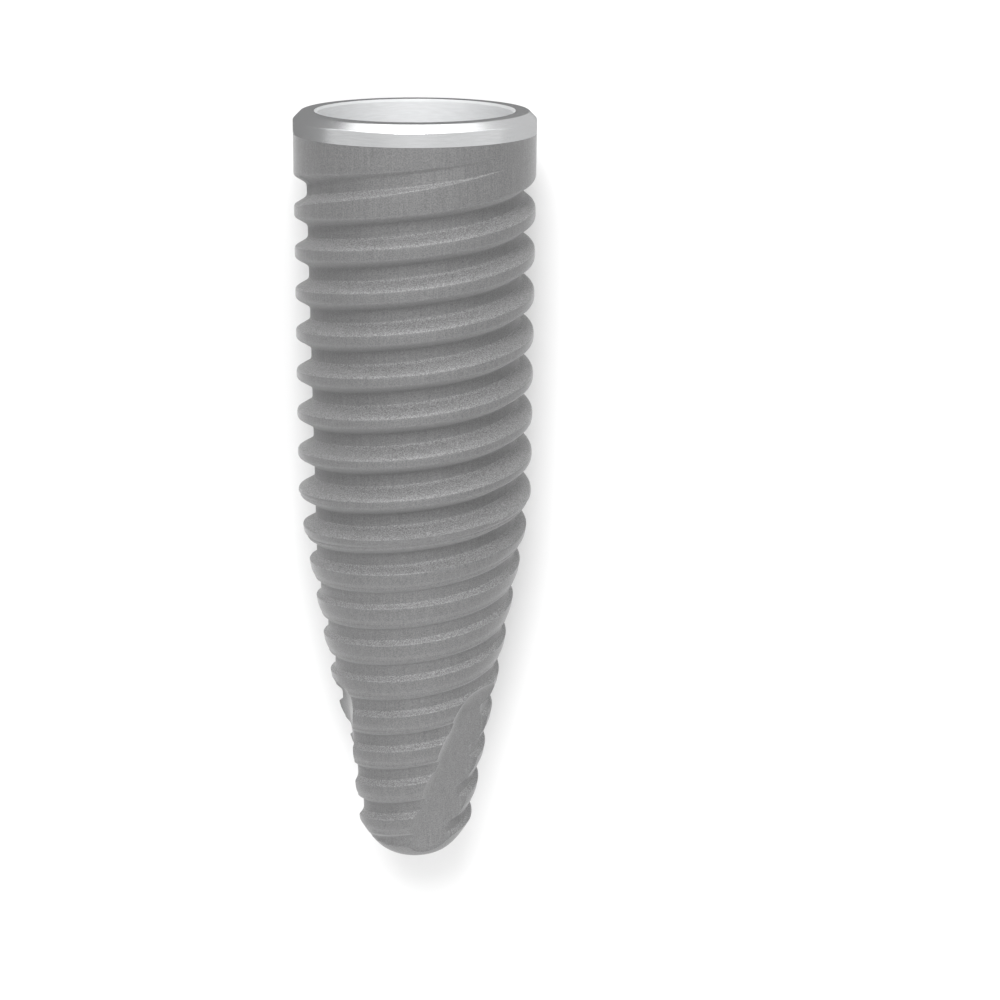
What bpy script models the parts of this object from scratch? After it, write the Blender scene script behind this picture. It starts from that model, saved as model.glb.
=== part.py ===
"""Root form dental implant, turned from one bar of titanium, lying on its side.

The implant is modelled upright: its axis on Z, the platform at z = 0 and the tip below.
Angles run from the front (-Y) toward the right (+X), so a right hand thread climbs with
the angle. The finished solid is then laid on its back along Y, platform toward +Y.
"""
import math

import bmesh
import bpy
from mathutils import Matrix, Vector

# Overall sizes in metres.
BODY_DIAMETER = 0.0045
BODY_LENGTH = 0.01485
THREAD_PITCH = 0.000774
THREAD_STARTS = 2
SEGMENTS = 24

RADIUS = BODY_DIAMETER / 2
HALF_STEP = math.pi / SEGMENTS
LEAD = THREAD_PITCH * THREAD_STARTS

# Collar and platform.
COLLAR_BEVEL = 0.065 * RADIUS
PLATFORM_RADIUS = RADIUS - COLLAR_BEVEL
MOUTH_RADIUS = 0.824 * RADIUS
MOUTH_CHAMFER = 0.02 * RADIUS

# Outside of the threaded body: a cylinder, then a cone, then a domed tip.
CONE_START_Z = -0.502 * BODY_LENGTH
DOME_START_Z = -0.95 * BODY_LENGTH
DOME_RADIUS = 0.506 * RADIUS
DOME_STEPS = 7
SHOULDER_OUT = 0.69
SHOULDER_DOWN = 0.84
NOSE_OUT = 0.55

# Root of the thread groove: a slight taper, then nearly the cone of the outside.
CORE_TOP_Z = -0.1 * BODY_LENGTH
CORE_TOP_RADIUS = 0.892 * RADIUS
CORE_BEND_Z = -0.593 * BODY_LENGTH
CORE_BEND_RADIUS = 0.846 * RADIUS
CORE_TIP_RADIUS = 0.438 * RADIUS

# Section of the thread groove.
FLANK_ANGLE = math.radians(30)
ROOT_WIDTH = 0.32 * THREAD_PITCH
ROOT_FILLET = 0.08 * THREAD_PITCH
TOOL_WIDTH = 0.96 * THREAD_PITCH
TOOL_DEPTH = (TOOL_WIDTH - ROOT_WIDTH) / (2 * math.tan(FLANK_ANGLE))

# Height of the first groove at the left side, and its upper end, where the cut grows
# out of the cylinder. The end lies on a corner of the turned blank.
GROOVE_SIDE_Z = -0.6495 * RADIUS
RUNOUT_ANGLE = 5 * HALF_STEP
RUNOUT_SWEEP = math.radians(107.5)
RUNOUT_Z = GROOVE_SIDE_Z + LEAD * (RUNOUT_ANGLE + math.pi / 2) / (2 * math.pi)
RUNOUT_RISE = 0.06 * RADIUS

# Cutting flutes at the tip: wide shallow scoops, deepest toward their cutting edge.
FLUTE_DEPTH = 0.106 * RADIUS
FLUTE_HALF_WIDTH = 0.26 * RADIUS
FLUTE_RISE = 0.05 * RADIUS
FLUTE_OFFSET = 0.08 * RADIUS
FLUTE_TOP_Z = -0.747 * BODY_LENGTH
FLUTE_NOSE = 0.22 * RADIUS
FLUTE_TOP_ANGLE = math.radians(56)
FLUTE_SLANT = math.radians(26.5) / RADIUS
FLUTE_TURNS = (0.0, math.radians(-124), math.radians(118))
FLUTE_SIDES = 12
FLUTE_STEPS = 10

# Socket for the abutment: conical seat, hexagon and screw bore.
SEAT_RADIUS = 0.64 * RADIUS
SEAT_DEPTH = 0.9 * RADIUS
HEX_WIDTH = 1.07 * RADIUS
HEX_DEPTH = 1.6 * RADIUS
SCREW_RADIUS = 0.38 * RADIUS
SCREW_DEPTH = 0.56 * BODY_LENGTH
DRILL_POINT = 0.2 * RADIUS

MERGE = 0.0005 * RADIUS

# The thread tools are turned a hair against the blank, so that no edges coincide in a
# cut, and the close pairs of points this gives are welded afterwards.
HAIR_TURN = math.radians(0.35)
WELD = 1.3 * HAIR_TURN * RADIUS


def clear_scene():
    """Remove every object of the start file."""
    for obj in list(bpy.data.objects):
        bpy.data.objects.remove(obj, do_unlink=True)


def new_collection(name):
    """Make a collection in the scene."""
    made = bpy.data.collections.new(name)
    bpy.context.scene.collection.children.link(made)
    return made


def metal(name, color, roughness):
    """Make a plain metal material."""
    mat = bpy.data.materials.new(name)
    mat.use_nodes = True
    shader = mat.node_tree.nodes["Principled BSDF"]
    shader.inputs["Base Color"].default_value = (*color, 1.0)
    shader.inputs["Metallic"].default_value = 1.0
    shader.inputs["Roughness"].default_value = roughness
    mat.diffuse_color = (*color, 1.0)
    return mat


def around(radius, angle, z):
    """Point at an angle from the front toward the right."""
    return Vector((radius * math.sin(angle), -radius * math.cos(angle), z))


def mix(a, b, t):
    """Value a fraction t of the way from a to b."""
    return a + (b - a) * t


def outside_radius(z):
    """Radius over the thread crests, with the cone carried on past the tip."""
    t = (CONE_START_Z - z) / (CONE_START_Z - DOME_START_Z)
    return mix(RADIUS, DOME_RADIUS, max(0.0, t))


def core_radius(z):
    """Radius at the root of the thread groove."""
    if z > CORE_BEND_Z:
        t = (CORE_TOP_Z - z) / (CORE_TOP_Z - CORE_BEND_Z)
        return mix(CORE_TOP_RADIUS, CORE_BEND_RADIUS, t)
    t = (CORE_BEND_Z - z) / (CORE_BEND_Z - DOME_START_Z)
    return mix(CORE_BEND_RADIUS, CORE_TIP_RADIUS, t)


def dome_profile():
    """Points down the tip on one curve, from its corner with the cone to the axis."""
    height = BODY_LENGTH + DOME_START_Z
    points = []
    for step in range(DOME_STEPS + 1):
        t = step / DOME_STEPS
        shoulder = 3 * (1 - t) ** 2 * t
        nose = 3 * (1 - t) * t ** 2
        radius = DOME_RADIUS * ((1 - t) ** 3 + SHOULDER_OUT * shoulder + NOSE_OUT * nose)
        depth = height * (SHOULDER_DOWN * shoulder + nose + t ** 3)
        points.append((radius, DOME_START_Z - depth))
    return points


def turned(name, profile, collection):
    """Turn a profile of (radius, z) points about Z into a closed solid."""
    mesh = bpy.data.meshes.new(name)
    verts = [(radius, 0.0, z) for radius, z in profile]
    edges = [(i, i + 1) for i in range(len(verts) - 1)]
    mesh.from_pydata(verts, edges, [])
    obj = bpy.data.objects.new(name, mesh)
    collection.objects.link(obj)
    screw = obj.modifiers.new("turn", "SCREW")
    screw.axis = "Z"
    screw.angle = 2 * math.pi
    screw.steps = SEGMENTS
    screw.render_steps = SEGMENTS
    screw.use_merge_vertices = True
    screw.merge_threshold = MERGE
    screw.use_normal_calculate = True
    bake(obj)
    bm = bmesh.new()
    bm.from_mesh(obj.data)
    face_outward(bm)
    bm.to_mesh(obj.data)
    bm.free()
    obj.data.transform(Matrix.Rotation(HALF_STEP, 4, "Z"))
    return obj


def bake(obj):
    """Replace the mesh by the result of its modifiers."""
    graph = bpy.context.evaluated_depsgraph_get()
    mesh = bpy.data.meshes.new_from_object(obj.evaluated_get(graph))
    obj.modifiers.clear()
    old = obj.data
    obj.data = mesh
    mesh.name = old.name
    bpy.data.meshes.remove(old)


def face_outward(bm):
    """Merge stray points and turn all faces outward."""
    bmesh.ops.remove_doubles(bm, verts=bm.verts, dist=MERGE)
    bmesh.ops.recalc_face_normals(bm, faces=bm.faces)


def finish_mesh(bm, name, collection):
    """Store a bmesh as a new object."""
    face_outward(bm)
    mesh = bpy.data.meshes.new(name)
    bm.to_mesh(mesh)
    bm.free()
    obj = bpy.data.objects.new(name, mesh)
    collection.objects.link(obj)
    return obj


def swept(name, rings, collection):
    """Join rings of points, all of one length, into a closed capped solid."""
    bm = bmesh.new()
    rows = [[bm.verts.new(point) for point in ring] for ring in rings]
    count = len(rows[0])
    for upper, lower in zip(rows, rows[1:]):
        for i in range(count):
            k = (i + 1) % count
            bm.faces.new((upper[i], upper[k], lower[k], lower[i]))
    bm.faces.new(rows[0])
    bm.faces.new(list(reversed(rows[-1])))
    return finish_mesh(bm, name, collection)


def groove_section():
    """Half-hexagon section of the thread tool as (outward, upward) offsets."""
    half_root = ROOT_WIDTH / 2
    out = ROOT_FILLET * math.cos(FLANK_ANGLE)
    up = ROOT_FILLET * math.sin(FLANK_ANGLE)
    upper = [(TOOL_DEPTH, TOOL_WIDTH / 2), (out, half_root + up), (0.0, half_root - ROOT_FILLET)]
    lower = [(dr, -dz) for dr, dz in reversed(upper)]
    return upper + lower


def groove_station(turn_down):
    """Root radius and height of the groove at an angle below its upper end."""
    cut = min(1.0, turn_down / RUNOUT_SWEEP)
    z = RUNOUT_Z - LEAD * turn_down / (2 * math.pi)
    root = mix(RADIUS, core_radius(z), cut)
    rise = RUNOUT_RISE * math.sqrt(max(0.0, 1.0 - max(0.0, cut)))
    return root, z + rise


def groove_cutter(name, start_angle, collection):
    """Helical thread tool from above the run-out to below the tip."""
    section = groove_section()
    step = 2 * HALF_STEP
    depth = BODY_LENGTH + RUNOUT_Z + THREAD_PITCH / 4
    count = math.ceil(depth / LEAD * SEGMENTS)
    rings = []
    for i in range(-2, count + 1):
        root, z = groove_station(i * step)
        angle = start_angle - i * step
        rings.append([around(root + dr, angle, z + dz) for dr, dz in section])
    return swept(name, rings, collection)


def flute_section(lift):
    """Scooped section of the flute tool as (sideways, outward) offsets from the crests."""
    reach = 1.3 * FLUTE_HALF_WIDTH
    points = []
    for i in range(FLUTE_SIDES + 1):
        side = mix(-reach, reach, i / FLUTE_SIDES)
        away = side + FLUTE_OFFSET
        edge = FLUTE_HALF_WIDTH - FLUTE_OFFSET if away < 0 else FLUTE_HALF_WIDTH + FLUTE_OFFSET
        points.append((side, lift - FLUTE_DEPTH + FLUTE_RISE * (away / edge) ** 2))
    lid = lift + 2 * FLUTE_DEPTH
    return points + [(reach, lid), (-reach, lid)]


def flute_cutter(name, turn, collection):
    """Flute tool with a rounded top end, which follows the cone and runs out at the tip."""
    full = FLUTE_TOP_Z - FLUTE_NOSE
    low = -BODY_LENGTH - FLUTE_DEPTH
    stations = [(FLUTE_TOP_Z - FLUTE_NOSE * t, t) for t in (0.0, 0.06, 0.2, 0.45, 0.7)]
    stations += [(mix(full, low, i / FLUTE_STEPS), 1.0) for i in range(FLUTE_STEPS + 1)]
    rings = []
    for z, t in stations:
        lift = FLUTE_DEPTH * (1.0 - math.sqrt(1.0 - (1.0 - t) ** 2))
        angle = FLUTE_TOP_ANGLE + FLUTE_SLANT * (z - FLUTE_TOP_Z) + turn
        crest = around(outside_radius(z), angle, z)
        out = around(1.0, angle, 0.0)
        side = around(1.0, angle + math.pi / 2, 0.0)
        rings.append([crest + side * du + out * dr for du, dr in flute_section(lift)])
    return swept(name, rings, collection)


def socket_cutter(collection):
    """Chamfer, conical seat and screw bore as one turned cutter."""
    top = MOUTH_CHAMFER
    profile = [(0.0, top), (MOUTH_RADIUS + top, top)]
    profile.append((MOUTH_RADIUS - MOUTH_CHAMFER, -MOUTH_CHAMFER))
    profile.append((SEAT_RADIUS, -SEAT_DEPTH))
    profile.append((SCREW_RADIUS, -SEAT_DEPTH))
    profile.append((SCREW_RADIUS, -SCREW_DEPTH))
    profile.append((0.0, -SCREW_DEPTH - DRILL_POINT))
    return turned("socket_tool", profile, collection)


def hexagon_cutter(collection):
    """Hexagonal prism that opens into the conical seat."""
    corner = HEX_WIDTH / math.sqrt(3)
    rings = []
    for z in (-SEAT_DEPTH + MOUTH_CHAMFER, -HEX_DEPTH):
        rings.append([around(corner, math.radians(60 * i + 30), z) for i in range(6)])
    return swept("hexagon_tool", rings, collection)


def blank(collection):
    """Turned blank: platform, collar bevel, cylinder, cone and domed tip."""
    profile = [(0.0, 0.0), (PLATFORM_RADIUS, 0.0), (RADIUS, -COLLAR_BEVEL)]
    profile.append((RADIUS, CONE_START_Z))
    profile += dome_profile()
    return turned("implant", profile, collection)


def cut(obj, cutters):
    """Take all cutters out of the solid in one step, so nothing is rounded between cuts."""
    boolean = obj.modifiers.new("cut", "BOOLEAN")
    boolean.operation = "DIFFERENCE"
    boolean.solver = "EXACT"
    boolean.operand_type = "COLLECTION"
    boolean.collection = cutters
    bake(obj)


def hide_cutters(collection):
    """Show the cutters as wire and keep them out of renders."""
    for obj in collection.objects:
        obj.display_type = "WIRE"
        obj.hide_render = True


def weld(obj, distance):
    """Merge points that lie close together, and drop edges left without a face."""
    bm = bmesh.new()
    bm.from_mesh(obj.data)
    bmesh.ops.remove_doubles(bm, verts=bm.verts, dist=distance)
    bmesh.ops.dissolve_degenerate(bm, dist=MERGE, edges=bm.edges)
    loose = [edge for edge in bm.edges if not edge.link_faces]
    bmesh.ops.delete(bm, geom=loose, context="EDGES")
    bm.to_mesh(obj.data)
    bm.free()


def lay_down(obj):
    """Lay the implant on its back along Y, resting on z = 0, centred on X and Y."""
    height = RADIUS * math.cos(HALF_STEP)
    lie = Matrix.Rotation(math.radians(-90), 4, "X")
    place = Matrix.Translation((0.0, BODY_LENGTH / 2, height))
    obj.data.transform(place @ lie)


def shade(obj):
    """Smooth the round faces and keep the thread edges sharp."""
    obj.data.shade_smooth()
    obj.data.set_sharp_from_angle(angle=math.radians(28))


def main():
    """Build the implant."""
    clear_scene()
    parts = new_collection("dental_implant")
    tools = new_collection("cutters")
    implant = blank(parts)
    for start in range(THREAD_STARTS):
        angle = RUNOUT_ANGLE - HAIR_TURN + 2 * math.pi * start / THREAD_STARTS
        groove_cutter(f"groove_tool_{start + 1}", angle, tools)
    for number, turn in enumerate(FLUTE_TURNS, 1):
        flute_cutter(f"flute_tool_{number}", turn, tools)
    socket_cutter(tools)
    hexagon_cutter(tools)
    cut(implant, tools)
    weld(implant, WELD)
    lay_down(implant)
    for tool in tools.objects:
        lay_down(tool)
    shade(implant)
    implant.data.materials.clear()
    implant.data.materials.append(metal("blasted_titanium", (0.34, 0.34, 0.345), 0.5))
    hide_cutters(tools)


main()
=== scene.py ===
"""Dresses the dental implant: fine thread and flutes, blasted and polished metal, studio."""
import math

import bmesh
import bpy
import numpy as np
from bpy.props import FloatProperty, FloatVectorProperty, IntProperty, PointerProperty
from mathutils import Matrix, Vector


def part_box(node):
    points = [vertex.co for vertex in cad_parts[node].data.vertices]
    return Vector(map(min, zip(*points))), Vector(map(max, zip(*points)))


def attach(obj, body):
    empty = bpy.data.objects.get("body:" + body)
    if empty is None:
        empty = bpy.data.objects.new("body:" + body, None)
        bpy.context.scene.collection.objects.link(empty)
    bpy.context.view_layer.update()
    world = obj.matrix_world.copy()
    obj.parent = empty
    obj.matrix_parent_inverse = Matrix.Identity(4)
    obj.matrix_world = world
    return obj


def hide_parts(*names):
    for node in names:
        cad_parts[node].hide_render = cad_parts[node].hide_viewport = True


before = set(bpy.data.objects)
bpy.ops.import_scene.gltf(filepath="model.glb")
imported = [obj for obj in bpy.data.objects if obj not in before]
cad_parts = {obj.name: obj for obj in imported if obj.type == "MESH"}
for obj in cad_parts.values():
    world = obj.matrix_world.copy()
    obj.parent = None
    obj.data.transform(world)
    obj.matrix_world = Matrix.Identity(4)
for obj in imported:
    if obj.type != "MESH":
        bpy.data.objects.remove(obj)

bl_info = {
    "name": "Dental Implant",
    "version": (1, 0, 0),
    "blender": (4, 5, 0),
    "location": "3D View > Sidebar > Implant",
    "description": "Builds a tapered root form dental implant with its finishes and studio",
    "category": "Object",
}

NODE = "implant"
CAD_LOW, CAD_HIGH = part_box(NODE)
CAD_SIZE = CAD_HIGH - CAD_LOW
CAD_SIDES = 24
AXIS_HEIGHT = CAD_SIZE.z / 2
FULL_RADIUS = AXIS_HEIGHT / math.cos(math.pi / CAD_SIDES)
TURN = 2 * math.pi

# Steps along the short curves of a thread section, and a length too small to see, in metres.
THIRDS = (0.0, 0.33, 0.67, 1.0)
TINY = 1e-6

# Grooves drawn above the first one, and beyond the implant's length in all.
GROOVES_ABOVE = 4
GROOVES_SPARE = 6

# Rounded collar edges: steps along the curve, and the flat step beside it in reaches.
ROUND_STEPS = (0.0, 0.25, 0.5, 0.75, 1.0)
ROUND_FLAT = 1.4

# Thread of the screw bore: rings drawn per pitch, and its depth as a share of the pitch.
BORE_RINGS = 6
BORE_DEPTH = 0.28

# Flutes: lengths in radii of the implant, angles in degrees.
FLUTE_TURNS = (0.0, -124.0, 118.0)
FLUTE_ANGLE = 56.0
FLUTE_SLANT = 26.5
FLUTE_DEPTH = 0.106
FLUTE_RISE = 0.05
FLUTE_OFFSET = 0.08
FLUTE_EDGES = (0.18, 0.34)
FLUTE_REACH = 0.34
FLUTE_LID = 0.2
FLUTE_END = 0.037
FLUTE_NOSE = 0.22
FLUTE_POINTS = 41
NOSE_STEPS = (0.0, 0.02, 0.06, 0.12, 0.2, 0.3, 0.42, 0.56, 0.7, 0.85)

# Edges between faces that meet at more than this many degrees stay sharp.
SHARP_ANGLE = 30

# Material slots of the body, in the order in which paint adds them; the two flank slots hold
# lighter greys, painted light.
SMOOTH, COLLAR, SOCKET, LIT_FLANK, HALF_LIT = range(5)

# A face is a thread flank when its normal leans this far along the axis. Upper flanks are
# painted lighter, as where light from above falls, and lower flanks a little lighter than the
# crests.
FLANK_LEAN = 0.4

# Contrast of the grain: on the upper flanks it is stronger, painted glints where they face the
# light; elsewhere it is plain grain.
COARSE_SPARKLE = 0.4
FINE_SPARKLE = 0.22

# Turned metal: roughness of collar and socket, and tool marks per metre.
COLLAR_ROUGHNESS = 0.26
SOCKET_ROUGHNESS = 0.85
TOOL_MARKS = 40000.0

# Room light: directions, and brightness at places from 0, against a direction, to 1, along it.
UP = (0.0, 0.0, 1.0)
UP_LIGHT = [(0.5, 0.8), (0.75, 0.8), (0.9, 0.74), (1.0, 0.74)]
RIGHT = (1.0, 0.0, 0.0)
RIGHT_LIGHT = [(0.0, 0.9), (0.5, 0.94), (1.0, 1.05)]
AHEAD = (0.0, 0.95, 0.31)
AHEAD_LIGHT = [(0.85, 0.0), (0.93, 1.8)]
BEHIND = (0.0, -0.9, 0.44)
BEHIND_LIGHT = [(0.8, 0.0), (0.93, 1.6)]

# Key light: place from the implant's centre and width, in metres.
KEY_PLACE = (-0.012, 0.1, 0.12)
KEY_SIZE = 0.05

# Cards: corners in radii to the right of and beyond the platform, and their grey.
FAR = 400.0
DARK_CORNERS = [(1.2, -0.3), (-1.3, -0.3), (-1.3, -1.2), (-FAR, -100.0), (-FAR, 7.0), (1.2, 7.0)]
DARK_GREY = 0.15
PALE_CORNERS = [(1.2, -1.2), (FAR, -120.0), (FAR, 7.0), (1.2, 7.0)]
PALE_GREY = 0.36

# Floor: half its width in implant lengths.
FLOOR_SPAN = 60

# Camera: radii beyond the platform and above the axis, and its sideways shift.
CAMERA_BEYOND = 2.096
CAMERA_ABOVE = 18.071
CAMERA_SHIFT = 0.08515


class ImplantSizes(bpy.types.PropertyGroup):
    """Sizes of the implant, in metres and radians."""

    diameter: FloatProperty(
        name="Diameter",
        description="Diameter over the thread crests",
        default=2 * FULL_RADIUS,
        unit="LENGTH",
        precision=6,
    )
    length: FloatProperty(
        name="Length",
        description="Length from the platform to the tip",
        default=CAD_SIZE.y,
        unit="LENGTH",
        precision=6,
    )
    pitch: FloatProperty(
        name="Thread pitch",
        description="Distance between neighbouring thread crests",
        default=0.000774,
        unit="LENGTH",
        precision=6,
    )
    flank: FloatProperty(
        name="Flank angle",
        description="Angle of each thread flank from the radius",
        default=math.radians(30),
        subtype="ANGLE",
    )
    edge: FloatProperty(
        name="Crest rounding",
        description="How far the rounding of a crest edge reaches",
        default=0.00006,
        unit="LENGTH",
        precision=6,
    )
    screw_pitch: FloatProperty(
        name="Screw bore pitch",
        description="Pitch of the fine thread in the screw bore",
        default=0.00035,
        unit="LENGTH",
        precision=6,
    )
    columns: IntProperty(
        name="Columns",
        description="Facets round the implant, a multiple of twelve",
        default=216,
        min=48,
        max=240,
    )


class ImplantFinish(bpy.types.PropertyGroup):
    """Colours and grain of the metal."""

    # Painted light: the upper flanks are painted this grey, lighter than the crests, where light
    # from above falls on them.
    blasted: FloatVectorProperty(
        name="Blasted metal",
        description="Colour of the blasted thread flanks",
        subtype="COLOR",
        size=3,
        default=(0.215, 0.215, 0.216),
        min=0.0,
        max=1.0,
    )
    # The base grey of the body; the flank greys are painted lighter than it.
    smooth: FloatVectorProperty(
        name="Smooth metal",
        description="Colour of the smoother crests, dome and band below the collar",
        subtype="COLOR",
        size=3,
        default=(0.165, 0.165, 0.166),
        min=0.0,
        max=1.0,
    )
    polished: FloatVectorProperty(
        name="Polished metal",
        description="Colour of the machined collar",
        subtype="COLOR",
        size=3,
        default=(0.74, 0.746, 0.754),
        min=0.0,
        max=1.0,
    )
    socket: FloatVectorProperty(
        name="Socket metal",
        description="Colour of the machined socket",
        subtype="COLOR",
        size=3,
        default=(0.69, 0.695, 0.7),
        min=0.0,
        max=1.0,
    )
    grain: FloatProperty(
        name="Grain",
        description="Size of the blasted grain",
        default=0.00002,
        unit="LENGTH",
        precision=6,
    )


class ImplantStudio(bpy.types.PropertyGroup):
    """Floor, lights and camera."""

    floor: FloatVectorProperty(
        name="Floor",
        description="Colour of the floor",
        subtype="COLOR",
        size=3,
        default=(0.74, 0.74, 0.74),
        min=0.0,
        max=1.0,
    )
    sky: FloatProperty(
        name="Room light",
        description="Strength of the light from all round",
        default=1.0,
        min=0.0,
    )
    key: FloatProperty(
        name="Key light",
        description="Power of the main light, high up beyond the collar",
        default=0.16,
        min=0.0,
    )
    tilt: FloatProperty(
        name="Camera tilt",
        description="How far the camera looks from straight down toward the tip",
        default=math.radians(16.71),
        subtype="ANGLE",
    )
    lens: FloatProperty(
        name="Lens",
        description="Focal length of the camera in millimetres",
        default=78.86,
    )


def mix(a, b, t):
    """Value a fraction t of the way from a to b."""
    return a + (b - a) * t


def bezier(points, t):
    """Point a fraction t along the curve with these control points."""
    rows = [np.array(p, dtype=float) for p in points]
    while len(rows) > 1:
        rows = [mix(a, b, t) for a, b in zip(rows, rows[1:])]
    return rows[0]


class Form:
    """Profile, socket and thread of the implant, upright with the platform at z = 0."""

    def __init__(self, sizes):
        r = sizes.diameter / 2
        self.radius = r
        self.length = sizes.length
        self.pitch = sizes.pitch
        self.lead = 2 * sizes.pitch
        self.tan = math.tan(sizes.flank)
        self.sin = math.sin(sizes.flank)
        self.cos = math.cos(sizes.flank)
        self.edge = sizes.edge
        # Collar: a point on the flat ring, its bevel, the upright wall and the polished band.
        self.platform = 0.88 * r
        self.bevel = 0.065 * r
        self.wall_z = -0.12 * r
        self.band_z = -0.176 * r
        self.rounding = 0.01 * r
        # Socket: mouth, conical seat, hexagon, and bore with its drilled point.
        self.mouth = 0.824 * r
        self.seat = 0.64 * r
        self.seat_z = -0.9 * r
        self.hexagon = 0.535 * r
        self.hexagon_z = -1.6 * r
        self.bore = 0.38 * r
        self.bore_z = -0.56 * self.length
        self.drill_tip = 0.2 * r
        # Threaded surface, which follows a cylinder, a cone and a dome.
        self.thread_top_z = -0.2 * r
        self.thread_low_z = -6.5 * r
        self.cone_z = -0.502 * self.length
        self.cone_blend = 0.08 * r
        self.dome_z = -0.95 * self.length
        self.dome_radius = 0.506 * r
        # Grooves: root and fillet, the taper of the core, and the height at the left side.
        self.root_half = 0.16 * self.pitch
        self.fillet = 0.08 * self.pitch
        self.core_radii = (0.892 * r, 0.846 * r, 0.438 * r)
        self.core_top_z = -0.1 * self.length
        self.core_bend_z = -0.593 * self.length
        self.side_z = -0.6495 * r
        # A groove loses its depth over this part of a turn and ends this far past the left side.
        self.runout_turns = 115 / 360
        self.runout_rise = 0.06 * r
        self.runout_z = self.side_z + self.lead * 135 / 360
        self.flute_z = -0.747 * self.length
        self.dome = self.dome_curve()

    def dome_curve(self):
        """Points of the domed tip, from the cone to the axis."""
        wide = self.dome_radius
        start = (wide, self.dome_z)
        shoulder = (0.69 * wide, mix(self.dome_z, -self.length, 0.84))
        nose = (0.55 * wide, -self.length)
        tip = (0.0, -self.length)
        return [bezier((start, shoulder, nose, tip), t) for t in np.linspace(0, 1, 41)]

    def cone(self, z):
        """Radius over the crests, with the cone carried on past the tip."""
        slope = (self.radius - self.dome_radius) / (self.cone_z - self.dome_z)
        into = self.cone_z - z
        soft = self.cone_blend
        return self.radius - slope * (into + math.sqrt(into * into + soft * soft)) / 2

    def outside(self, z):
        """Radius over the crests, dome included."""
        if z > self.dome_z:
            return self.cone(z)
        heights = [-point[1] for point in self.dome]
        return float(np.interp(-z, heights, [point[0] for point in self.dome]))

    def core(self, z):
        """Radius at the root of the thread groove, on two straight tapers."""
        top, bend, low = self.core_radii
        if z > self.core_bend_z:
            return mix(top, bend, (self.core_top_z - z) / (self.core_top_z - self.core_bend_z))
        return mix(bend, low, (self.core_bend_z - z) / (self.core_bend_z - self.dome_z))

    def groove(self, nominal):
        """Height and root radius of the groove whose nominal height is given."""
        cut = (self.runout_z - nominal) / self.lead / self.runout_turns
        share = min(1.0, max(0.0, cut))
        z = nominal + self.runout_rise * math.sqrt(1.0 - share)
        surface = self.cone(z)
        return z, surface - min(1.0, cut) * (surface - self.core(z))

    def half(self, nominal, side):
        """Half section of a groove as (z, radius), from its root to the crest edge."""
        z, root = self.groove(nominal)
        deep = max(0.0, self.cone(z) - root)
        root = min(root, self.cone(z))
        fit = min(1.0, deep / (2.5 * self.fillet * self.cos))
        f = self.fillet * fit + TINY
        a = self.root_half
        foot = [(a - f, root), (a, root), (a + f * self.sin, root + f * self.cos)]
        points = [bezier(foot, t) for t in THIRDS]
        lip = a + deep * self.tan + 2 * TINY
        e = min(self.edge, 0.35 * deep / self.cos) + TINY / 2
        corner = root + deep
        crest = [(lip - e * self.sin, corner - e * self.cos), (lip, corner), (lip + e, corner)]
        points.append((np.array(foot[2]) + np.array(crest[0])) / 2)
        points += [bezier(crest, t) for t in THIRDS]
        return [(z + side * p[0], p[1]) for p in points], z, root

    def column(self, angle, first, count):
        """Points down one column of the thread, as (z, radius)."""
        base = self.side_z + self.lead * (angle + math.pi / 2) / TURN
        rows = []
        for g in range(first, first + count):
            lower, z, root = self.half(base - g * self.pitch, -1)
            upper, _, _ = self.half(base - (g + 1) * self.pitch, 1)
            rows.append((z, root))
            rows += lower
            a, b = lower[-1], upper[-1]
            rows += [(mix(a[0], b[0], t), mix(a[1], b[1], t)) for t in THIRDS[1:-1]]
            rows += reversed(upper)
        return rows


def around(radius, angle, z):
    """Point at an angle from the front toward the right."""
    return (radius * math.sin(angle), -radius * math.cos(angle), z)


def mesh_of(bm, name):
    """New mesh with the contents of a bmesh, which is freed."""
    mesh = bpy.data.meshes.new(name)
    bm.to_mesh(mesh)
    bm.free()
    return mesh


class Shell:
    """Collects rings of points and joins them into one closed mesh."""

    def __init__(self):
        self.points = []
        self.faces = []

    def add(self, point):
        """Store a point and give its number."""
        self.points.append(point)
        return len(self.points) - 1

    def ring(self, radius, z, count, shape=None):
        """Ring of points; shape turns an angle into a factor on the radius."""
        made = []
        for i in range(count):
            angle = TURN * i / count
            size = radius * (shape(angle) if shape else 1.0)
            made.append(self.add(around(size, angle, z)))
        return made

    def join(self, upper, lower):
        """Faces between two rings; one may have a third of the points of the other."""
        if len(upper) < len(lower):
            upper, lower = lower, upper
        step = len(upper) // len(lower)
        n = len(upper)
        for k in range(len(lower)):
            top = [upper[(k * step + j) % n] for j in range(step + 1)]
            self.faces.append(top + [lower[(k + 1) % len(lower)], lower[k]])

    def join_all(self, rings):
        """Faces between each ring of a list and the next."""
        for upper, lower in zip(rings, rings[1:]):
            self.join(upper, lower)

    def cap(self, ring, z):
        """Close a ring with a fan round a point on the axis."""
        centre = self.add((0.0, 0.0, z))
        for k, point in enumerate(ring):
            self.faces.append([point, ring[(k + 1) % len(ring)], centre])

    def mesh(self, name):
        """Finished mesh with its faces turned outward."""
        bm = bmesh.new()
        verts = [bm.verts.new(p) for p in self.points]
        for face in self.faces:
            kept = [p for k, p in enumerate(face) if p != face[k - 1]]
            if len(set(kept)) > 2:
                bm.faces.new([verts[p] for p in kept])
        loose = [v for v in bm.verts if not v.link_faces]
        bmesh.ops.delete(bm, geom=loose, context="VERTS")
        bmesh.ops.recalc_face_normals(bm, faces=bm.faces)
        return mesh_of(bm, name)


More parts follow.
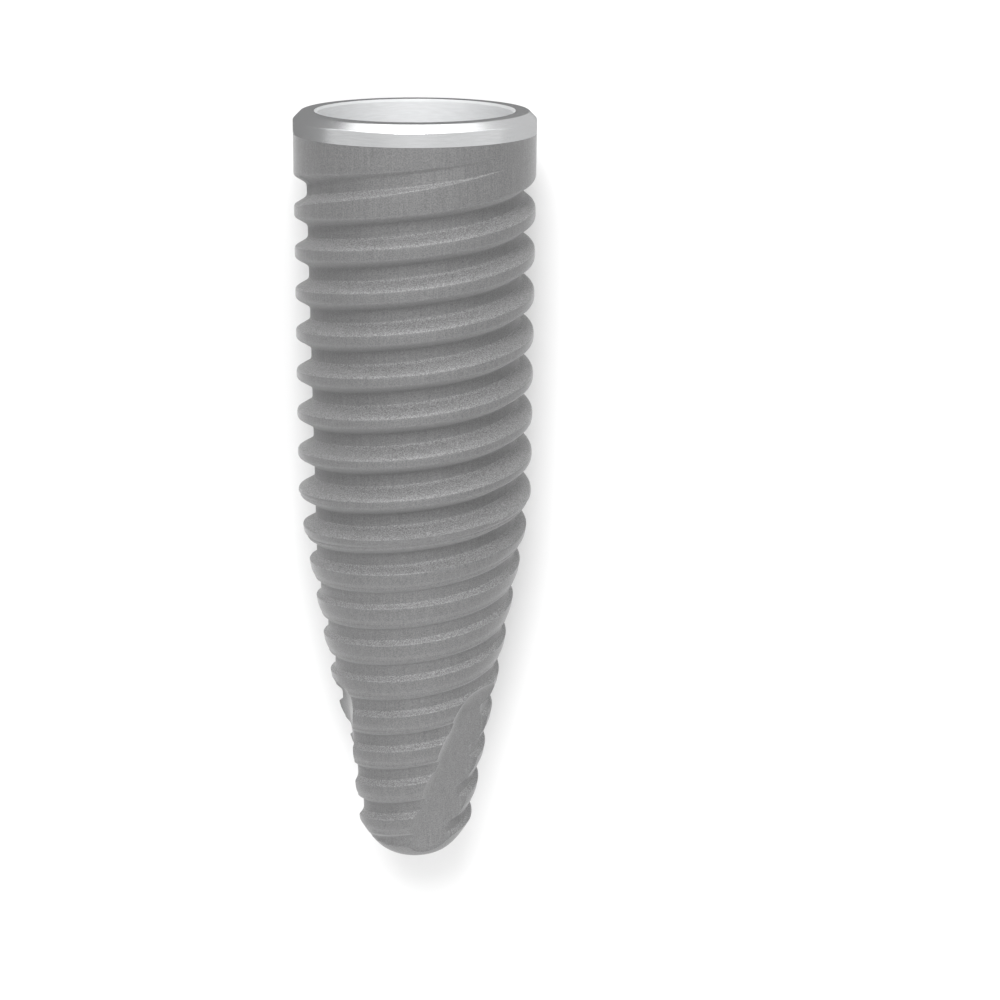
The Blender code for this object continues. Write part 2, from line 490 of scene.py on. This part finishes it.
def thread_grid(shell, form, columns):
    """Thread surface between two rings, its rows running along the helix."""
    top, bottom = form.thread_top_z, form.thread_low_z
    top_ring = shell.ring(form.outside(top), top, columns)
    bottom_ring = shell.ring(form.outside(bottom), bottom, columns)
    count = math.ceil((form.length + GROOVES_SPARE * form.pitch) / form.pitch)
    grid = []
    for i in range(columns):
        angle = TURN * i / columns
        rows = []
        for z, radius in form.column(angle, -GROOVES_ABOVE, count):
            if z > top:
                rows.append(top_ring[i])
            elif z < bottom:
                rows.append(bottom_ring[i])
            else:
                rows.append(shell.add(around(min(radius, form.outside(z)), angle, z)))
        grid.append(rows)
    # The helix climbs one lead in a turn, so the last column meets the first that much lower.
    per_lead = 2 * len(grid[0]) // count
    for i in range(columns):
        here, there = grid[i], grid[(i + 1) % columns]
        shift = 0 if i + 1 < columns else per_lead
        for n in range(len(here) - 1):
            a = there[n - shift] if n >= shift else there[0]
            b = there[n + 1 - shift] if n + 1 >= shift else there[0]
            shell.faces.append([here[n], here[n + 1], b, a])
    return top_ring, bottom_ring


def rounded(before, corner, after, reach):
    """Points round a corner of a profile, with a flat step on each side of the rounding."""
    here = Vector(corner)
    back = (Vector(before) - here).normalized()
    on = (Vector(after) - here).normalized()
    curve = [here + back * reach, here, here + on * reach]
    points = [here + back * ROUND_FLAT * reach]
    points += [bezier(curve, t) for t in ROUND_STEPS]
    points.append(here + on * ROUND_FLAT * reach)
    return [(p[0], p[1]) for p in points]


def body_mesh(form, columns, screw_pitch):
    """Implant with its socket as one closed mesh, before the flutes are cut."""
    shell = Shell()
    r = form.radius
    corners = [(form.platform, 0.0), (r - form.bevel, 0.0), (r, -form.bevel), (r, form.wall_z)]
    steps = rounded(*corners[:3], form.rounding) + rounded(*corners[1:], form.rounding)
    steps += [corners[-1], (r, form.band_z)]
    rings = socket_rings(shell, form, columns, screw_pitch)
    shell.cap(rings[-1], form.bore_z - form.drill_tip)
    rings.reverse()
    rings += [shell.ring(size, z, columns) for size, z in steps]
    top, bottom = thread_grid(shell, form, columns)
    shell.join_all(rings + [top])
    clear = form.thread_low_z - 0.01 * r
    tip = [p for p in form.dome if p[1] < clear]
    rings = [bottom] + [shell.ring(p[0], p[1], columns) for p in tip[:-1]]
    shell.join_all(rings)
    shell.cap(rings[-1], -form.length)
    return shell.mesh("implant_body")


def hexagon(angle):
    """Factor that turns a circle over the flats into a hexagon."""
    return 1.0 / math.cos((angle + math.pi / 6) % (math.pi / 3) - math.pi / 6)


def socket_rings(shell, form, columns, screw_pitch):
    """Rings of the socket from its mouth down: conical seat, hexagon and threaded bore."""
    r = form.radius
    lip = 0.02 * r
    shelf_z = -0.905 * r
    shelf = 0.632 * r
    cone = [(form.mouth, 0.0), (form.mouth - lip, -lip), (form.seat, form.seat_z)]
    rings = [shell.ring(size, z, columns) for size, z in cone + [(shelf, shelf_z)]]
    flat = form.hexagon
    walls = [(1.02 * flat, shelf_z), (flat, shelf_z - lip), (flat, form.hexagon_z)]
    rings += [shell.ring(size, z, columns, hexagon) for size, z in walls]
    count = columns // 3
    rings.append(shell.ring(1.08 * form.bore, form.hexagon_z, count))
    z = form.hexagon_z - 0.05 * r
    while z > form.bore_z:
        rings.append(bore_ring(shell, form.bore, z, count, screw_pitch))
        z -= screw_pitch / BORE_RINGS
    rings.append(shell.ring(form.bore, form.bore_z, count))
    return rings


def bore_ring(shell, bore, z, count, pitch):
    """Ring of the threaded bore at one height."""
    made = []
    for i in range(count):
        phase = (z / pitch - i / count) % 1.0
        wave = 2 * abs(phase - 0.5)
        made.append(shell.add(around(bore + BORE_DEPTH * pitch * wave, TURN * i / count, z)))
    return made


def flute_floor(form, side):
    """Height of the scooped flute floor over the crests at a sideways distance."""
    away = side + FLUTE_OFFSET * form.radius
    edge = FLUTE_EDGES[0 if away < 0 else 1] * form.radius
    return -FLUTE_DEPTH * form.radius + FLUTE_RISE * form.radius * (away / edge) ** 2


def flute_shell(shell, form, turn):
    """Cutter of one flute: a shallow scoop with a rounded top end, which follows the cone."""
    r = form.radius
    top = form.flute_z + FLUTE_END * r
    full = top - FLUTE_NOSE * r
    low = -form.length - 0.1 * r
    stations = [(top - FLUTE_NOSE * r * t, t) for t in NOSE_STEPS]
    stations += [(mix(full, low, t), 1.0) for t in np.linspace(0, 1, FLUTE_POINTS)]
    reach = FLUTE_REACH * r
    across = np.linspace(-reach, reach, FLUTE_POINTS)
    rings = []
    for z, t in stations:
        lift = FLUTE_DEPTH * r * (1.0 - math.sqrt(1.0 - (1.0 - t) ** 2))
        slant = math.radians(FLUTE_SLANT) * (z - form.flute_z) / r
        angle = math.radians(FLUTE_ANGLE) + slant + turn
        crest = Vector(around(form.cone(z), angle, z))
        out = Vector(around(1.0, angle, 0.0))
        side = Vector(around(1.0, angle + math.pi / 2, 0.0))
        section = [(u, lift + flute_floor(form, u)) for u in across]
        section += [(reach, lift + FLUTE_LID * r), (-reach, lift + FLUTE_LID * r)]
        rings.append([shell.add(tuple(crest + side * u + out * v)) for u, v in section])
    shell.join_all(rings)
    shell.faces.append(rings[0])
    shell.faces.append(rings[-1])


def cut_flutes(body, form):
    """Take the flutes out of the body with one exact Boolean."""
    cutter = Shell()
    for turn in FLUTE_TURNS:
        flute_shell(cutter, form, math.radians(turn))
    tool = link("flute_tools", cutter.mesh("flute_tools"))
    boolean = body.modifiers.new("cut", "BOOLEAN")
    boolean.operation = "DIFFERENCE"
    boolean.solver = "EXACT"
    boolean.object = tool
    graph = bpy.context.evaluated_depsgraph_get()
    cut = bpy.data.meshes.new_from_object(body.evaluated_get(graph))
    body.modifiers.clear()
    body.data = cut
    bpy.data.objects.remove(tool, do_unlink=True)


def lay_down(mesh, form):
    """Lay an upright mesh on its side along Y, as the CAD part lies."""
    lie = Matrix.Rotation(-math.pi / 2, 4, "X")
    mesh.transform(Matrix.Translation((0.0, form.length / 2, AXIS_HEIGHT)) @ lie)


def link(name, data):
    """New object in the scene."""
    obj = bpy.data.objects.new(name, data)
    bpy.context.scene.collection.objects.link(obj)
    return obj


def new_material(name):
    """Empty node material, with its tree and shader."""
    mat = bpy.data.materials.new(name)
    mat.use_nodes = True
    return mat, mat.node_tree, mat.node_tree.nodes["Principled BSDF"]


def object_place(tree):
    """Position on the object, as the source of a texture."""
    return tree.nodes.new("ShaderNodeTexCoord").outputs["Object"]


def noise(tree, vector, scale, detail, rough):
    """Noise texture on a position, with its scale in features per metre."""
    node = tree.nodes.new("ShaderNodeTexNoise")
    node.inputs["Scale"].default_value = scale
    node.inputs["Detail"].default_value = detail
    node.inputs["Roughness"].default_value = rough
    tree.links.new(vector, node.inputs["Vector"])
    return node.outputs["Fac"]


def stretch(tree, vector, factors):
    """Position scaled along each axis, which draws a noise out."""
    node = tree.nodes.new("ShaderNodeMapping")
    node.inputs["Scale"].default_value = factors
    tree.links.new(vector, node.inputs["Vector"])
    return node.outputs["Vector"]


def grey(value):
    """Grey of one value."""
    return (value, value, value)


def ramp(tree, value, stops):
    """Colour ramp of grey or coloured stops."""
    node = tree.nodes.new("ShaderNodeValToRGB")
    band = node.color_ramp
    while len(band.elements) < len(stops):
        band.elements.new(0.5)
    for element, (place, color) in zip(band.elements, stops):
        element.position = place
        element.color = (*color, 1.0)
    tree.links.new(value, node.inputs["Fac"])
    return node.outputs["Color"]


def blend_colors(tree, way, first, second):
    """Two colours blended in full in one way."""
    node = tree.nodes.new("ShaderNodeMix")
    node.data_type = "RGBA"
    node.blend_type = way
    node.inputs[0].default_value = 1.0
    tree.links.new(first, node.inputs[6])
    tree.links.new(second, node.inputs[7])
    return node.outputs[2]


def bump(tree, height, strength, distance):
    """Normal that gives a surface small relief."""
    node = tree.nodes.new("ShaderNodeBump")
    node.inputs["Strength"].default_value = strength
    node.inputs["Distance"].default_value = distance
    tree.links.new(height, node.inputs["Height"])
    return node.outputs["Normal"]


def blasted_metal(name, color, grain, sparkle):
    """Grit blasted titanium: matt grey with a fine grain and faint streaks along the axis."""
    mat, tree, shader = new_material(name)
    place = object_place(tree)
    metal = Vector(color)
    pits = noise(tree, place, 1.0 / grain, 1.0, 0.5)
    light = ramp(tree, pits, [(0.3, metal * (1 - sparkle)), (0.7, metal * (1 + sparkle))])
    drawn = noise(tree, stretch(tree, place, (1.0, 0.06, 1.0)), 0.5 / grain, 2.0, 0.6)
    streaks = ramp(tree, drawn, [(0.3, grey(0.9)), (0.7, grey(1.04))])
    shade = blend_colors(tree, "MULTIPLY", light, streaks)
    tree.links.new(shade, shader.inputs["Base Color"])
    shader.inputs["Metallic"].default_value = 0.5
    shader.inputs["Roughness"].default_value = 0.7
    shader.inputs["Sheen Weight"].default_value = 0.3
    shader.inputs["Sheen Roughness"].default_value = 0.4
    tree.links.new(bump(tree, pits, 2 * sparkle, 0.5 * grain), shader.inputs["Normal"])
    return mat


def turned_metal(name, color, roughness):
    """Turned titanium with faint tool marks round the axis."""
    mat, tree, shader = new_material(name)
    metal = Vector(color)
    drawn = stretch(tree, object_place(tree), (0.1, 1.0, 0.1))
    marks = noise(tree, drawn, TOOL_MARKS, 2.0, 0.5)
    shade = ramp(tree, marks, [(0.35, metal * 0.97), (0.65, metal * 1.02)])
    tree.links.new(shade, shader.inputs["Base Color"])
    shader.inputs["Metallic"].default_value = 1.0
    shader.inputs["Roughness"].default_value = roughness
    return mat


def matt_paint(name, color, gloss):
    """Matt paint of one colour."""
    mat, _, shader = new_material(name)
    shader.inputs["Base Color"].default_value = (*color, 1.0)
    shader.inputs["Roughness"].default_value = 0.9
    shader.inputs["Specular IOR Level"].default_value = gloss
    return mat


def in_socket(form, size, z):
    """Whether a point at this distance from the axis lies on the socket's wall."""
    margin = 0.01 * form.radius
    if z > form.seat_z:
        return size < mix(form.mouth, form.seat, min(1.0, z / form.seat_z)) + margin
    return z > form.bore_z - form.drill_tip and size < form.seat + margin


def surface_slot(form, face):
    """Material slot of a face, by its place and the way it faces; upper flanks take the lighter
    grey and lower flanks and hollows the half-lighter one, both painted light.
    """
    x, y, z = face.center
    size = math.hypot(x, y)
    if in_socket(form, size, z):
        return SOCKET
    if z > form.band_z:
        return COLLAR
    # Painted light: upper flanks take the lighter grey; lower flanks, roots and flute floors the
    # half-lighter one.
    if face.normal.z > FLANK_LEAN:
        return LIT_FLANK
    lower_flank = face.normal.z < -FLANK_LEAN and z > form.dome_z
    cut_in = size < form.outside(z) - 0.02 * form.radius
    return HALF_LIT if lower_flank or cut_in else SMOOTH


def paint(mesh, form, finish):
    """Materials of the body: smooth, turned, and blasted in two lighter greys, which are painted
    light on the flanks and hollows.
    """
    # Painted light: a grey between the crests and the upper flanks, for lower flanks, roots and
    # flute floors.
    between = Vector(finish.smooth).lerp(Vector(finish.blasted), 0.3)
    grain = finish.grain
    mesh.materials.clear()
    for material in (
        blasted_metal("smooth_titanium", finish.smooth, grain, FINE_SPARKLE),
        turned_metal("turned_collar", finish.polished, COLLAR_ROUGHNESS),
        turned_metal("turned_socket", finish.socket, SOCKET_ROUGHNESS),
        # Painted light: the upper flanks in a lighter grey with strong grain contrast, for light
        # from above and its glints.
        blasted_metal("blasted_titanium", finish.blasted, grain, COARSE_SPARKLE),
        blasted_metal("fine_blasted_titanium", between, grain, FINE_SPARKLE),
    ):
        mesh.materials.append(material)
    for face in mesh.polygons:
        face.material_index = surface_slot(form, face)


class IMPLANT_OT_body(bpy.types.Operator):
    """Build the turned body with its thread, flutes and socket"""

    bl_idname = "implant.body"
    bl_label = "Implant body"

    def execute(self, context):
        sizes = context.scene.implant_sizes
        form = Form(sizes)
        body = link("implant_body", body_mesh(form, sizes.columns, sizes.screw_pitch))
        cut_flutes(body, form)
        mesh = body.data
        mesh.shade_smooth()
        mesh.set_sharp_from_angle(angle=math.radians(SHARP_ANGLE))
        paint(mesh, form, context.scene.implant_finish)
        lay_down(mesh, form)
        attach(body, "root")
        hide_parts(NODE)
        return {"FINISHED"}


def build_floor(studio, height, size):
    """Plain pale floor."""
    bm = bmesh.new()
    bmesh.ops.create_grid(bm, x_segments=1, y_segments=1, size=size)
    bmesh.ops.translate(bm, verts=bm.verts, vec=(0.0, 0.0, height))
    floor = link("floor", mesh_of(bm, "floor"))
    floor.data.materials.append(matt_paint("floor_white", studio.floor, 0.1))


def build_card(name, sizes, height, corners, value):
    """Flat grey card just over the floor, which only shows as a reflection in the metal."""
    r = sizes.diameter / 2
    platform = sizes.length / 2
    bm = bmesh.new()
    places = [(x * r, platform + y * r, height + 0.02 * r) for x, y in corners]
    bm.faces.new([bm.verts.new(place) for place in places])
    card = link(name, mesh_of(bm, name))
    card.data.materials.append(matt_paint(name, grey(value), 0.5))
    card.visible_camera = False
    card.visible_diffuse = False
    card.visible_shadow = False


def graded(tree, toward, axis, stops):
    """Grey that changes from the directions against an axis to those along it."""
    node = tree.nodes.new("ShaderNodeVectorMath")
    node.operation = "DOT_PRODUCT"
    node.inputs[1].default_value = Vector(axis).normalized()
    tree.links.new(toward, node.inputs[0])
    scaled = tree.nodes.new("ShaderNodeMapRange")
    scaled.inputs["From Min"].default_value = -1.0
    scaled.inputs["From Max"].default_value = 1.0
    tree.links.new(node.outputs["Value"], scaled.inputs["Value"])
    return ramp(tree, scaled.outputs["Result"], [(place, grey(value)) for place, value in stops])


def build_world(studio):
    """Light from all round, a little less from the left, with a bright panel at each end."""
    world = bpy.data.worlds.new("studio")
    bpy.context.scene.world = world
    world.use_nodes = True
    tree = world.node_tree
    toward = tree.nodes.new("ShaderNodeTexCoord").outputs["Generated"]
    up = graded(tree, toward, UP, UP_LIGHT)
    right = graded(tree, toward, RIGHT, RIGHT_LIGHT)
    ahead = graded(tree, toward, AHEAD, AHEAD_LIGHT)
    behind = graded(tree, toward, BEHIND, BEHIND_LIGHT)
    even = blend_colors(tree, "MULTIPLY", up, right)
    panels = blend_colors(tree, "ADD", ahead, behind)
    total = blend_colors(tree, "ADD", even, panels)
    back = tree.nodes["Background"]
    tree.links.new(total, back.inputs["Color"])
    back.inputs["Strength"].default_value = studio.sky


def soft_light(name, place, target, size, power):
    """Square area light aimed at a point."""
    data = bpy.data.lights.new(name, "AREA")
    data.size = size
    data.energy = power
    light = link(name, data)
    light.location = place
    light.rotation_euler = (target - place).to_track_quat("-Z", "Y").to_euler()


def build_camera(studio, sizes):
    """Camera that looks down on the implant as the photograph does."""
    r = sizes.diameter / 2
    data = bpy.data.cameras.new("camera")
    data.lens = studio.lens
    data.sensor_width = 36.0
    data.shift_x = CAMERA_SHIFT
    data.clip_start = 0.001
    data.clip_end = 10.0
    camera = link("camera", data)
    beyond = sizes.length / 2 + CAMERA_BEYOND * r
    camera.location = (0.0, beyond, AXIS_HEIGHT + CAMERA_ABOVE * r)
    camera.rotation_euler = (-studio.tilt, 0.0, 0.0)
    bpy.context.scene.camera = camera


class IMPLANT_OT_stage(bpy.types.Operator):
    """Build the floor, the cards, the soft lights and the camera"""

    bl_idname = "implant.stage"
    bl_label = "Studio"

    def execute(self, context):
        studio = context.scene.implant_studio
        sizes = context.scene.implant_sizes
        ground = AXIS_HEIGHT - sizes.diameter / 2
        build_floor(studio, ground, FLOOR_SPAN * sizes.length)
        build_world(studio)
        build_card("card_dark", sizes, ground, DARK_CORNERS, DARK_GREY)
        build_card("card_pale", sizes, ground, PALE_CORNERS, PALE_GREY)
        centre = Vector((0.0, 0.0, AXIS_HEIGHT))
        soft_light("light_key", centre + Vector(KEY_PLACE), centre, KEY_SIZE, studio.key)
        build_camera(studio, sizes)
        context.scene.view_settings.view_transform = "Standard"
        return {"FINISHED"}


class IMPLANT_PT_panel(bpy.types.Panel):
    """Implant builder in the sidebar"""

    bl_label = "Implant"
    bl_idname = "IMPLANT_PT_panel"
    bl_space_type = "VIEW_3D"
    bl_region_type = "UI"
    bl_category = "Implant"

    def draw(self, context):
        layout = self.layout
        for name in ("implant_sizes", "implant_finish", "implant_studio"):
            group = getattr(context.scene, name)
            for prop in group.bl_rna.properties:
                if prop.identifier not in {"rna_type", "name"}:
                    layout.prop(group, prop.identifier)
        layout.operator(IMPLANT_OT_body.bl_idname)
        layout.operator(IMPLANT_OT_stage.bl_idname)


CLASSES = (
    ImplantSizes,
    ImplantFinish,
    ImplantStudio,
    IMPLANT_OT_body,
    IMPLANT_OT_stage,
    IMPLANT_PT_panel,
)


def register():
    """Register the classes and the settings of the scene."""
    for cls in CLASSES:
        bpy.utils.register_class(cls)
    bpy.types.Scene.implant_sizes = PointerProperty(type=ImplantSizes)
    bpy.types.Scene.implant_finish = PointerProperty(type=ImplantFinish)
    bpy.types.Scene.implant_studio = PointerProperty(type=ImplantStudio)


def unregister():
    """Remove the settings and the classes."""
    del bpy.types.Scene.implant_studio
    del bpy.types.Scene.implant_finish
    del bpy.types.Scene.implant_sizes
    for cls in reversed(CLASSES):
        bpy.utils.unregister_class(cls)


def main():
    """Build everything in order."""
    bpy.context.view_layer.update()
    register()
    bpy.ops.implant.body()
    bpy.ops.implant.stage()


if __name__ == "__main__":
    main()
